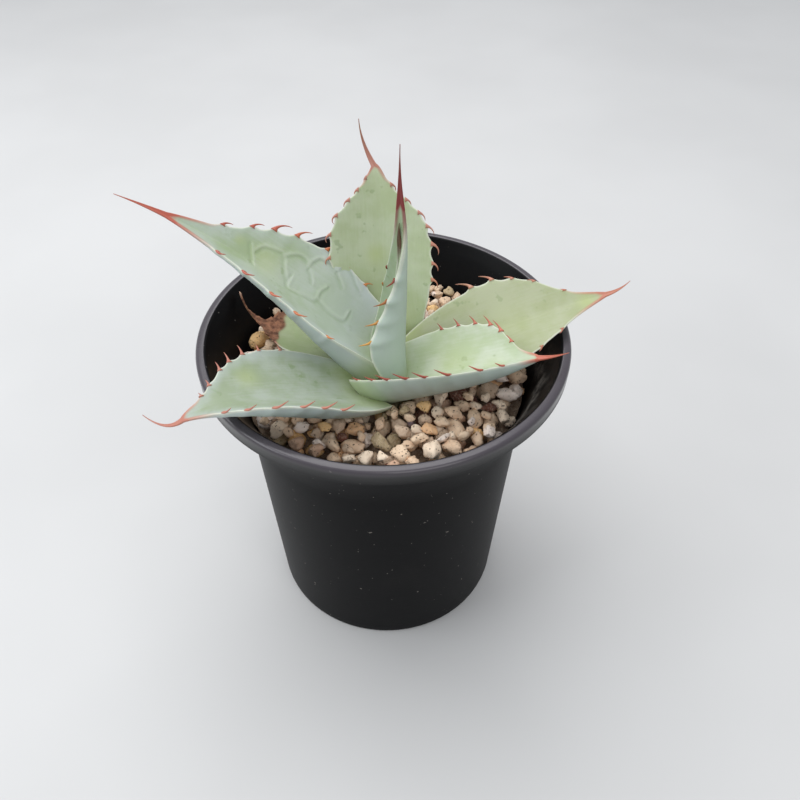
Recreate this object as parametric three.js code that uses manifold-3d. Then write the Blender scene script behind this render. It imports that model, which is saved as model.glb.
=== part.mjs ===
import * as THREE from 'three'
import { mergeVertices } from 'three/addons/utils/BufferGeometryUtils.js'
import Module from 'manifold-3d'

// A young potted agave, in millimetres, +Z up. The origin is the middle of the pot's flat base.

// Pot: thin moulded plastic, a straight taper that flares under a turned-down rim.
const POT_HEIGHT = 115
const RIM_RADIUS = 60
const BASE_RADIUS = 42.5
const NECK_RADIUS = 47
const WALL = 1.2
const FLOOR = 1.6
const FLARE_HEIGHT = 31
const RIM_WIDTH = 3.2
const SKIRT_HEIGHT = 5.5
const SKIRT_WALL = 1.3
const DRAIN_COUNT = 8
const DRAIN_RADIUS = 4
const DRAIN_RING_RADIUS = 28
const POT_SIDES = 48

// Planting: the pumice bed, the loose stones on it and the short buried stem.
const BED_DEPTH_BELOW_RIM = 20
const STONE_SIZE = 7.4
// Shares of a stone's size: from the wall to the first row, from row to row, and along a row.
const STONE_INSET = 0.78
const STONE_ROW_PITCH = 1.22
const STONE_PITCH = 1.04
const STEM_RADIUS = 12
const STEM_HEIGHT = 22
const STEM_CENTRE = [2, -6]
const STEM_SIDES = 24
const CROWN_HEIGHT = 102
// Step by which the rosette is raised where a leaf would reach the pot, and the stem with it.
const RAISE_STEP = 0.5

// Clearances between touching pieces, and the size of the whole rosette.
const GAP = 0.3
const LEAF_SCALE = 1
const LEAF_EDGE = 0.9
const TOOTH_LENGTH = 3.6
const TOOTH_RADIUS = 0.75
const TOOTH_TIP = 0.12

// Leaf meshes: points across one face, steps along the blade and along the terminal spine.
const ACROSS = 7
const BLADE_STEPS = 12
const SPINE_STEPS = 3
const SPINE_TIP = 0.25
const SPINE_TAPER = 1.3
const SHORTEST_EDGE = 0.02

const CREAM = 0xd2bca3
const PALE_GREEN = 0xacb89b
const POT_BLACK = 0x17181a

// Each leaf: a cubic centreline from crown to blade tip, then the end of its terminal spine; the way
// its upper face looks at base, middle and tip; half widths at even steps along the blade, left and
// right seen from the base; fold is the slope at the midrib and cup the further turn to the margin,
// in radians; thick is the midrib at base, middle and tip. Teeth stand at shares of the blade length.
const LEAVES = {
  leaf_spear: {
    line: [[1.5, -8, 106], [2.5, -8, 122], [6.5, -8, 140], [5, -6.8, 153]], spine: [5, -6.5, 159],
    face: [[-1, -0.4, 0], [-1, -0.4, 0], [-1, -0.4, 0]],
    left: [2.4, 2.6, 2.4, 2, 1.6, 1.1, 0.7], right: [2.4, 2.6, 2.4, 2, 1.6, 1.1, 0.7],
    fold: [[0.2, 0.2, 0.2], [0.2, 0.2, 0.2]], cup: [[1.2, 1.2, 1.2], [1.2, 1.2, 1.2]],
    thick: [2, 1.6, 0.5], teeth: [[], []],
  },
  leaf_heart: {
    line: [[3, -8.5, 103], [2.2, -8, 120], [5.6, -7.5, 142], [5.2, -5.5, 165.5]], spine: [5.2, -5.5, 182],
    face: [[-0.75, -0.66, 0], [-1, -0.05, 0], [-0.3, -1, 0]],
    left: [6.5, 10.1, 10.5, 9.6, 5.3, 2.2, 0.9], right: [8.7, 11.6, 12.9, 7.3, 3.6, 2.6, 0.9],
    fold: [[0.2, 0.2, 0.2], [0.25, 0.3, 0.2]], cup: [[0.41, 0.47, 0.2], [1.2, 0.81, 0.2]],
    thick: [3.5, 2.4, 0.5], teeth: [[0.52, 0.65], [0.37, 0.46, 0.56, 0.66]],
  },
  leaf_left: {
    line: [[0, -1, 105.5], [-18, 2, 118.5], [-38.5, 8.5, 138], [-64, 7.5, 153]], spine: [-78, 7.5, 160],
    face: [[0.48, -0.26, 0.8], [0.52, -0.25, 0.8], [0.52, -0.26, 0.8]],
    left: [12.5, 15.5, 18.5, 15.5, 11, 6, 0.9], right: [12.5, 14, 17, 16.5, 12, 4.5, 0.9],
    fold: [[0.36, 0.38, 0.32], [0.28, 0.3, 0.3]], cup: [[0.5, 0.33, 0.2], [0.3, 0.3, 0.2]],
    thick: [12, 4.4, 0.5],
    teeth: [[0.31, 0.46, 0.57, 0.69, 0.8], [0.35, 0.46, 0.58, 0.66, 0.73, 0.82]],
  },
  leaf_back: {
    line: [[6, 5, 99.5], [-6, 15, 114.5], [2, 24, 150], [-3, 28, 158]], spine: [-7, 26, 174],
    face: [[0, -1, 0.5], [0, -1, 0.5], [0, -1, 0.5]],
    left: [7, 9.5, 13.5, 16.5, 14.5, 6.5, 0.8], right: [9, 12.5, 16, 17, 14, 4, 0.8],
    fold: [[0.1, 0.1, 0.1], [0.1, 0.1, 0.1]], cup: [[0.4, 0.3, 0.2], [0.4, 0.3, 0.2]],
    thick: [4.5, 3.2, 0.5],
    teeth: [[0.5, 0.6, 0.69, 0.77, 0.83, 0.91], [0.39, 0.47, 0.56, 0.64, 0.7, 0.76, 0.84]],
  },
  leaf_front_right: {
    line: [[1, -11, 100.5], [13, -18.5, 111.5], [40, -17.5, 118], [47, -18.5, 119.5]],
    spine: [57, -15.5, 119], face: [[-0.15, 0.15, 1], [-0.2, 0.05, 1], [-0.2, 0.05, 1]],
    left: [13.5, 14.5, 16, 16, 13.5, 4, 0.9], right: [16, 17.5, 17.5, 17, 13.5, 5.5, 0.9],
    fold: [[0.44, 0.2, 0.4], [0.5, 0.44, 0.44]], cup: [[0.48, 0.45, 0.4], [0.48, 0.45, 0.4]],
    thick: [5, 4, 0.5],
    teeth: [[0.37, 0.47, 0.57, 0.66, 0.72, 0.78], [0.06, 0.14, 0.21, 0.29, 0.37, 0.47, 0.61, 0.72]],
  },
  leaf_right: {
    line: [[9, -5, 103], [27.5, 0, 113], [49.5, 3, 120.5], [71.5, 8, 123.5]], spine: [80, 12.5, 125.5],
    face: [[-0.2, -0.4, 1], [-0.2, -0.4, 1], [-0.2, -0.4, 1]],
    left: [10, 13, 15, 16, 12.5, 4.5, 0.8], right: [10, 13.5, 15.5, 16, 11.5, 5.5, 0.8],
    fold: [[0.1, 0.1, 0.1], [0.1, 0.1, 0.1]], cup: [[0.2, 0.2, 0.2], [0.2, 0.2, 0.2]],
    thick: [4, 3, 0.5], teeth: [[0.42, 0.52, 0.61, 0.7, 0.82], [0.36, 0.5, 0.62, 0.74]],
  },
  leaf_front_left: {
    line: [[-5, -14.5, 102], [-22, -29, 112], [-43.5, -38.5, 127], [-55.5, -45, 120]],
    spine: [-67, -43, 120], face: [[0.05, -0.1, 1], [0.05, 0.1, 1], [0.15, 0, 1]],
    left: [11.5, 15.5, 18.5, 17, 12.5, 6.5, 0.8], right: [11, 15.5, 18, 17.5, 12.5, 4, 0.8],
    fold: [[0.15, 0.27, 0.27], [0.1, 0.17, 0.19]], cup: [[0.25, 0.33, 0.26], [0.26, 0.28, 0.2]],
    thick: [5, 4, 0.5],
    teeth: [[0.33, 0.41, 0.49, 0.59, 0.69, 0.78], [0.36, 0.47, 0.56, 0.64, 0.7, 0.78, 0.84]],
  },
  // The oldest leaf is short, and its end has withered to a thin curl in place of a spine.
  leaf_withered: {
    line: [[-5.5, -2, 102.5], [-15, 4, 108], [-27, 11, 103.5], [-37.5, 12, 106]], spine: [-50, 22, 114],
    face: [[0, 0, 1], [0, 0, 1], [0, 0, 1]],
    left: [9, 10, 11, 12, 12, 10.5, 7], right: [9, 10.5, 11.5, 12, 11.5, 9.5, 7],
    fold: [[0.1, 0.1, 0.1], [0.1, 0.1, 0.1]], cup: [[0.2, 0.2, 0.3], [0.2, 0.2, 0.3]],
    thick: [3.5, 2.6, 1], teeth: [[], []],
  },
}

// Loose stones: rows round the bed, row 0 along the wall, each about a middle angle in degrees.
const STONE_ROWS = [
  { row: 0, middle: -67, count: 13 },
  { row: 1, middle: -65, count: 8 },
  { row: 0, middle: 66, count: 4 },
  { row: 1, middle: 70, count: 2 },
  { row: 0, middle: 168, count: 6 },
]

const wasm = await Module()
wasm.setup()

const toSolid = geometry => {
  const bare = geometry.clone()
  bare.deleteAttribute('normal')
  bare.deleteAttribute('uv')
  const merged = mergeVertices(bare, 1e-4)
  const vertProperties = new Float32Array(merged.attributes.position.array)
  const triVerts = new Uint32Array(merged.index.array)
  return new wasm.Manifold(new wasm.Mesh({ numProp: 3, vertProperties, triVerts }))
}

// Cuts leave some very short edges, which are closed up here with the slivers beside them.
const toGeometry = solid => {
  const { vertProperties, triVerts } = solid.getMesh()
  const cut = new THREE.BufferGeometry()
  cut.setAttribute('position', new THREE.BufferAttribute(new Float32Array(vertProperties), 3))
  cut.setIndex(Array.from(triVerts))
  const geometry = mergeVertices(cut, SHORTEST_EDGE)
  const corners = geometry.index.array
  const kept = []
  for (let i = 0; i < corners.length; i += 3) {
    const [a, b, c] = corners.slice(i, i + 3)
    if (a !== b && b !== c && c !== a) kept.push(a, b, c)
  }
  geometry.setIndex(kept)
  geometry.computeVertexNormals()
  return geometry
}

// A cut can leave crumbs beside the piece itself, so the largest body is the piece.
const largestBody = solid => {
  const bodies = solid.decompose()
  return bodies.reduce((best, body) => (body.volume() > best.volume() ? body : best))
}

// ---------------------------------------------------------------- pot and bed

// Inner radius of the pot wall at a height: a straight taper, then a flare up to the rim.
const neckHeight = POT_HEIGHT - FLARE_HEIGHT
const flareHeights = [0.3, 0.55, 0.75].map(share => neckHeight + share * FLARE_HEIGHT)
const mouthRadius = RIM_RADIUS - RIM_WIDTH
const innerRadius = z => {
  if (z <= neckHeight) {
    return THREE.MathUtils.lerp(BASE_RADIUS, NECK_RADIUS, z / neckHeight) - WALL
  }
  const rise = (z - neckHeight) / FLARE_HEIGHT
  return NECK_RADIUS - WALL + (mouthRadius - NECK_RADIUS + WALL) * rise ** 1.75
}

const profilePoints = pairs => pairs.map(([r, z]) => new THREE.Vector2(r, z))

// The corner of the flare sits under the rim, where the wall meets the top of the skirt.
function potGeometry() {
  const top = POT_HEIGHT
  const outside = flareHeights.map(z => [innerRadius(z) + WALL, z])
  const inside = flareHeights.map(z => [innerRadius(z), z]).reverse()
  const skirtInside = RIM_RADIUS - SKIRT_WALL
  const points = [
    [0, 0], [BASE_RADIUS - 1.5, 0], [BASE_RADIUS - 0.4, 0.4], [BASE_RADIUS, 1.5],
    [NECK_RADIUS, neckHeight], ...outside,
    [mouthRadius - 0.4, top - 4], [skirtInside, top - 2.6], [skirtInside, top - SKIRT_HEIGHT],
    [RIM_RADIUS - 0.2, top - SKIRT_HEIGHT], [RIM_RADIUS, top - 2.2], [RIM_RADIUS - 0.5, top - 0.7],
    [RIM_RADIUS - 1.5, top], [mouthRadius + 0.6, top - 0.2], [mouthRadius - 0.3, top - 1.2],
    ...inside, [NECK_RADIUS - WALL, neckHeight],
    [BASE_RADIUS - WALL, FLOOR + 1.5], [BASE_RADIUS - WALL - 1.2, FLOOR], [0, FLOOR],
  ]
  let pot = toSolid(new THREE.LatheGeometry(profilePoints(points), POT_SIDES).rotateX(Math.PI / 2))
  for (let i = 0; i < DRAIN_COUNT; i++) {
    const angle = (2 * Math.PI * (i + 0.5)) / DRAIN_COUNT
    const hole = new THREE.CylinderGeometry(DRAIN_RADIUS, DRAIN_RADIUS, 4 * FLOOR, 12).rotateX(Math.PI / 2)
    hole.translate(DRAIN_RING_RADIUS * Math.cos(angle), DRAIN_RING_RADIUS * Math.sin(angle), 0)
    pot = pot.subtract(toSolid(hole))
  }
  return pot
}

const bedTop = POT_HEIGHT - BED_DEPTH_BELOW_RIM
const bedRadius = innerRadius(bedTop) - GAP

function bedSolid() {
  const foot = FLOOR + GAP
  const points = [
    [0, foot], [BASE_RADIUS - WALL - 1.2 - GAP, foot], [BASE_RADIUS - WALL - GAP, foot + 1.5],
    [NECK_RADIUS - WALL - GAP, neckHeight],
    ...flareHeights.filter(z => z < bedTop).map(z => [innerRadius(z) - GAP, z]),
    [bedRadius, bedTop], [0, bedTop],
  ]
  return toSolid(new THREE.LatheGeometry(profilePoints(points), POT_SIDES).rotateX(Math.PI / 2))
}

// The short stem is buried up to its top, where the leaves spring from it.
function stemSolid(grow = 0) {
  const low = bedTop - STEM_HEIGHT - grow
  const top = bedTop + raise + grow
  const points = [
    [0, low], [0.5 * STEM_RADIUS + grow, low], [STEM_RADIUS + grow, bedTop - 0.5 * STEM_HEIGHT],
    [STEM_RADIUS + grow, top], [0, top],
  ]
  const stem = new THREE.LatheGeometry(profilePoints(points), STEM_SIDES).rotateX(Math.PI / 2)
  return toSolid(stem.translate(STEM_CENTRE[0], STEM_CENTRE[1], 0))
}

// ---------------------------------------------------------------- leaves

// A smooth curve through evenly spaced values, at a share from 0 to 1.
const smooth = (values, share) => {
  const last = values.length - 1
  const place = THREE.MathUtils.clamp(share, 0, 1) * last
  const i = Math.min(Math.floor(place), last - 1)
  const f = place - i
  const [b, c] = [values[i], values[i + 1]]
  const a = i > 0 ? values[i - 1] : 2 * b - c
  const d = i + 2 <= last ? values[i + 2] : 2 * c - b
  return 0.5 * (2 * b + (c - a) * f + (2 * a - 5 * b + 4 * c - d) * f * f
    + (3 * b - a - 3 * c + d) * f * f * f)
}

// Leaf points are given for a full-size rosette and scale about its crown; then the whole rosette
// is lifted or lowered until its lowest blade rests on the bed, or on the stem that holds it higher.
const crown = new THREE.Vector3(STEM_CENTRE[0], STEM_CENTRE[1], CROWN_HEIGHT)
const lift = new THREE.Vector3()
const placed = point => new THREE.Vector3(...point).sub(crown).multiplyScalar(LEAF_SCALE)
  .add(crown).add(lift)

const bladeCurve = leaf => new THREE.CubicBezierCurve3(...leaf.line.map(placed))

// Tangent, outward face and right-hand side of the leaf at a share of its blade.
function frameAt(leaf, curve, share) {
  const tangent = curve.getTangent(share)
  const face = new THREE.Vector3(...[0, 1, 2].map(k => smooth(leaf.face.map(v => v[k]), share)))
  face.addScaledVector(tangent, -face.dot(tangent)).normalize()
  return { tangent, face, right: new THREE.Vector3().crossVectors(tangent, face) }
}

// One point of the cross-section: s runs from -1, the left margin, to 1, the right margin.
function sectionPoint(leaf, at, frame, share, s, below, grow) {
  const side = s < 0 ? 0 : 1
  const sign = s < 0 ? -1 : 1
  const a = Math.abs(s)
  const width = LEAF_SCALE * smooth(side ? leaf.right : leaf.left, share) + grow
  const fold = smooth(leaf.fold[side], share)
  const cup = smooth(leaf.cup[side], share)
  const turn = fold + cup * a
  const out = (width * (Math.sin(turn) - Math.sin(fold))) / cup
  const up = (width * (Math.cos(fold) - Math.cos(turn))) / cup
  const normal = frame.face.clone().multiplyScalar(Math.cos(turn))
    .addScaledVector(frame.right, -sign * Math.sin(turn))
  const depth = LEAF_SCALE * smooth(leaf.thick, share) * (1 - a ** 2.2) + LEAF_EDGE
  const shift = below ? -depth - grow : grow
  return at.clone().addScaledVector(frame.right, sign * out).addScaledVector(frame.face, up)
    .addScaledVector(normal, shift)
}

// The closed ring of one cross-section: over the upper face to the right margin, back underneath.
function sectionRing(leaf, at, frame, share, grow) {
  const ring = []
  for (let i = 0; i < ACROSS; i++) {
    ring.push(sectionPoint(leaf, at, frame, share, (2 * i) / (ACROSS - 1) - 1, false, grow))
  }
  for (let i = ACROSS - 1; i >= 0; i--) {
    ring.push(sectionPoint(leaf, at, frame, share, (2 * i) / (ACROSS - 1) - 1, true, grow))
  }
  return ring
}

// The terminal spine carries the last section on along a bent line, shrinking it to a fine tip.
function spineRings(leaf, lastRing, frame, grow) {
  const start = bladeCurve(leaf).getPoint(1)
  const tip = placed(leaf.spine)
  const reach = tip.distanceTo(start)
  const bend = start.clone().addScaledVector(frame.tangent, 0.5 * reach)
  const curve = new THREE.QuadraticBezierCurve3(start, bend, tip)
  const size = Math.max(...lastRing.map(point => point.distanceTo(start)))
  const rings = []
  for (let i = 1; i <= SPINE_STEPS; i++) {
    const share = i / SPINE_STEPS
    const scale = THREE.MathUtils.lerp((SPINE_TIP + grow) / size, 1, (1 - share) ** SPINE_TAPER)
    const at = curve.getPoint(share)
    const turn = new THREE.Quaternion().setFromUnitVectors(frame.tangent, curve.getTangent(share))
    rings.push(lastRing.map(point => point.clone().sub(start).multiplyScalar(scale)
      .applyQuaternion(turn).add(at)))
  }
  return rings
}

// A closed skin over a row of rings with equal numbers of points.
function loftGeometry(rings) {
  const n = rings[0].length
  const position = rings.flat().flatMap(point => point.toArray())
  const index = []
  // The ends close in strips from the upper row to the lower one, so a hollow section folds nowhere.
  const endCap = (first, flip) => {
    for (let i = 0; i + 1 < n - 1 - i; i++) {
      const [a, b, c, d] = [i, i + 1, n - 2 - i, n - 1 - i].map(corner => first + corner)
      if (b !== c) index.push(...(flip ? [a, c, b] : [a, b, c]))
      index.push(...(flip ? [a, d, c] : [a, c, d]))
    }
  }
  for (let j = 0; j < rings.length - 1; j++) {
    for (let i = 0; i < n; i++) {
      const [a, b] = [j * n + i, j * n + ((i + 1) % n)]
      index.push(a, b, b + n, a, b + n, a + n)
    }
  }
  endCap(0, true)
  endCap((rings.length - 1) * n, false)
  const geometry = new THREE.BufferGeometry()
  geometry.setAttribute('position', new THREE.Float32BufferAttribute(position, 3))
  geometry.setIndex(index)
  return geometry
}

// A solid from rings, turned right side out.
function loftSolid(rings) {
  const solid = toSolid(loftGeometry(rings))
  return solid.volume() > 0 ? solid : toSolid(loftGeometry(rings.map(ring => [...ring].reverse())))
}

function bladeSolid(leaf, grow = 0) {
  const curve = bladeCurve(leaf)
  const rings = []
  for (let i = 0; i <= BLADE_STEPS; i++) {
    const share = i / BLADE_STEPS
    const at = curve.getPoint(share)
    const frame = frameAt(leaf, curve, share)
    if (i === 0) at.addScaledVector(frame.tangent, -grow)
    rings.push(sectionRing(leaf, at, frame, share, grow))
  }
  const tipFrame = frameAt(leaf, curve, 1)
  rings.push(...spineRings(leaf, rings[BLADE_STEPS], tipFrame, grow))
  return loftSolid(rings)
}

// A marginal tooth: a short thorn rooted in the margin that hooks back along the leaf.
function toothSolid(leaf, side, share) {
  const curve = bladeCurve(leaf)
  const frame = frameAt(leaf, curve, share)
  const s = side ? 1 : -1
  const at = curve.getPoint(share)
  const margin = sectionPoint(leaf, at, frame, share, s, false, 0)
  const inward = sectionPoint(leaf, at, frame, share, 0.9 * s, false, 0)
  const outward = margin.clone().sub(inward).normalize()
  const root = margin.clone().addScaledVector(outward, -0.9)
  const middle = margin.clone().addScaledVector(outward, 0.55 * TOOTH_LENGTH)
  const tip = margin.clone().addScaledVector(outward, 0.8 * TOOTH_LENGTH)
    .addScaledVector(frame.tangent, -0.5 * TOOTH_LENGTH)
  const across = new THREE.Vector3().crossVectors(outward, frame.tangent).normalize()
  const ring = (centre, radius) => [0, 1, 2, 3, 4].map(i => {
    const angle = (2 * Math.PI * i) / 5
    return centre.clone().addScaledVector(frame.tangent, radius * Math.cos(angle))
      .addScaledVector(across, radius * Math.sin(angle))
  })
  return loftSolid([ring(root, TOOTH_RADIUS), ring(middle, 0.6 * TOOTH_RADIUS), ring(tip, TOOTH_TIP)])
}

const teethSolids = leaf => leaf.teeth.flatMap((shares, side) => (
  shares.map(share => toothSolid(leaf, side, share))
))

// ---------------------------------------------------------------- stones

// A repeatable number from 0 to 1 for each seed.
const chance = seed => {
  const value = Math.sin(seed * 127.1 + 11.7) * 43758.5453
  return value - Math.floor(value)
}

function stoneSolid(seed, x, y) {
  const geometry = new THREE.IcosahedronGeometry(1, 1)
  const position = geometry.attributes.position
  const corner = new THREE.Vector3()
  for (let i = 0; i < position.count; i++) {
    corner.fromBufferAttribute(position, i)
    const key = Math.round(corner.x * 50) + 7 * Math.round(corner.y * 50) + 13 * Math.round(corner.z * 50)
    corner.multiplyScalar(0.86 + 0.14 * chance(key + seed))
    position.setXYZ(i, corner.x, corner.y, corner.z)
  }
  const half = STONE_SIZE * (0.42 + 0.1 * chance(seed + 1))
  geometry.scale(half, half * (0.75 + 0.2 * chance(seed + 2)), half * (0.62 + 0.2 * chance(seed + 3)))
  geometry.rotateZ(2 * Math.PI * chance(seed + 4))
  geometry.computeBoundingBox()
  const rest = bedTop + GAP - geometry.boundingBox.min.z
  return toSolid(geometry.translate(x, y, rest))
}

// ---------------------------------------------------------------- assembly

const plastic = new THREE.MeshStandardMaterial({ color: POT_BLACK, roughness: 0.4, metalness: 0 })
const leafSkin = new THREE.MeshStandardMaterial({ color: PALE_GREEN, roughness: 0.65, metalness: 0 })
const stemSkin = new THREE.MeshStandardMaterial({ color: 0x8f8a66, roughness: 0.8, metalness: 0 })
const pumice = new THREE.MeshStandardMaterial({ color: CREAM, roughness: 0.95, metalness: 0 })

const group = new THREE.Group()
const addPiece = (name, solid, material) => {
  const mesh = new THREE.Mesh(toGeometry(solid), material.clone())
  mesh.name = name
  group.add(mesh)
}

const pot = potGeometry()
addPiece('pot', pot, plastic)

// Inner leaves come first; every later blade is cut to lie round those before it, and no tooth
// reaches into another blade.
const join = solids => solids.reduce((all, solid) => all.add(solid))
const names = Object.keys(LEAVES)
const growBlades = () => names.map(name => bladeSolid(LEAVES[name], GAP))
lift.z = bedTop - Math.min(...growBlades().map(blade => blade.boundingBox().min[2]))
const reachesPot = () => [...growBlades(), ...names.flatMap(name => teethSolids(LEAVES[name]))]
  .some(solid => solid.intersect(pot).volume() > 0)
let raise = 0
while (reachesPot()) {
  raise += RAISE_STEP
  lift.z += RAISE_STEP
}
const grown = growBlades()
names.forEach((name, i) => {
  const leaf = LEAVES[name]
  const whole = bladeSolid(leaf)
  const blade = i ? largestBody(whole.subtract(join(grown.slice(0, i)))) : whole
  const neighbours = join(grown.filter((_, j) => j !== i))
  const teeth = teethSolids(leaf).map(tooth => tooth.subtract(neighbours))
  addPiece(name, largestBody(join([blade, ...teeth])), leafSkin)
})

addPiece('stem', stemSolid(), stemSkin)
addPiece('pumice_bed', bedSolid().subtract(stemSolid(GAP)), pumice)

const rosette = join(grown)
let stoneNumber = 0
for (const { row, middle, count } of STONE_ROWS) {
  const radius = bedRadius - STONE_SIZE * (STONE_INSET + STONE_ROW_PITCH * row)
  const step = (STONE_PITCH * STONE_SIZE) / radius
  for (let i = 0; i < count; i++) {
    stoneNumber += 1
    const angle = THREE.MathUtils.degToRad(middle) + (i - (count - 1) / 2) * step
    const stone = stoneSolid(stoneNumber * 10, radius * Math.cos(angle), radius * Math.sin(angle))
    const name = `stone_${String(stoneNumber).padStart(2, '0')}`
    addPiece(name, largestBody(stone.subtract(rosette)), pumice)
  }
}

export default group
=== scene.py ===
"""A young agave with toothed leaves in a black plastic nursery pot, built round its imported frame."""

import math

import bmesh
import bpy
import numpy as np
from mathutils import Matrix, Vector, noise
from mathutils.bvhtree import BVHTree


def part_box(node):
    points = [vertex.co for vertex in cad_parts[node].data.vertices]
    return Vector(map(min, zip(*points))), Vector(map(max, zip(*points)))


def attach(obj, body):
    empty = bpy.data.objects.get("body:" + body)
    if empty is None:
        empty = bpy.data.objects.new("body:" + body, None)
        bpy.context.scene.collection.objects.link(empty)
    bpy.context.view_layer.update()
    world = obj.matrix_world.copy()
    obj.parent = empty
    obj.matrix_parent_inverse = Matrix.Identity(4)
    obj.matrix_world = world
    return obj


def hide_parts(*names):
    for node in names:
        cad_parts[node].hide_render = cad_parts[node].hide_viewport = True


bl_info = {
    "name": "Potted agave",
    "version": (1, 0, 0),
    "blender": (4, 5, 0),
    "location": "3D View > Sidebar > Agave",
    "description": "Builds the leaves, pumice and pot of a young potted agave",
    "category": "Add Mesh",
}

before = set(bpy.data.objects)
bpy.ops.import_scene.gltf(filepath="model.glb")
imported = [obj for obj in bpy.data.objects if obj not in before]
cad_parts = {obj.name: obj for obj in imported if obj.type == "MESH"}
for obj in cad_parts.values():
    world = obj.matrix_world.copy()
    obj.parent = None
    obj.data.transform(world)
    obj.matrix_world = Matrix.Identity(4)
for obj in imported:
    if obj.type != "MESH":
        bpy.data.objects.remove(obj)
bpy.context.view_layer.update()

MM = 0.001
POT_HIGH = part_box("pot")[1]
BED_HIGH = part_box("pumice_bed")[1]
RIM_RADIUS = POT_HIGH.x / MM
POT_HEIGHT = POT_HIGH.z / MM
BED_TOP = BED_HIGH.z / MM
STONES = sorted(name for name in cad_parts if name.startswith("stone_"))


# ---------- leaf shapes, in millimetres
#
# line: cubic centreline from crown to blade tip; spine: end of the terminal spine; face: the way the
# upper face looks at base, middle and tip; left, right: half widths at even steps; fold, cup: slope at
# the midrib and further turn to the margin, left and right, in radians; thick: the midrib. Teeth are
# (share of the blade, length); hook gives each side's lean from straight out, its further curl and
# its rise over the upper face, where negative angles turn towards the base.

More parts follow.
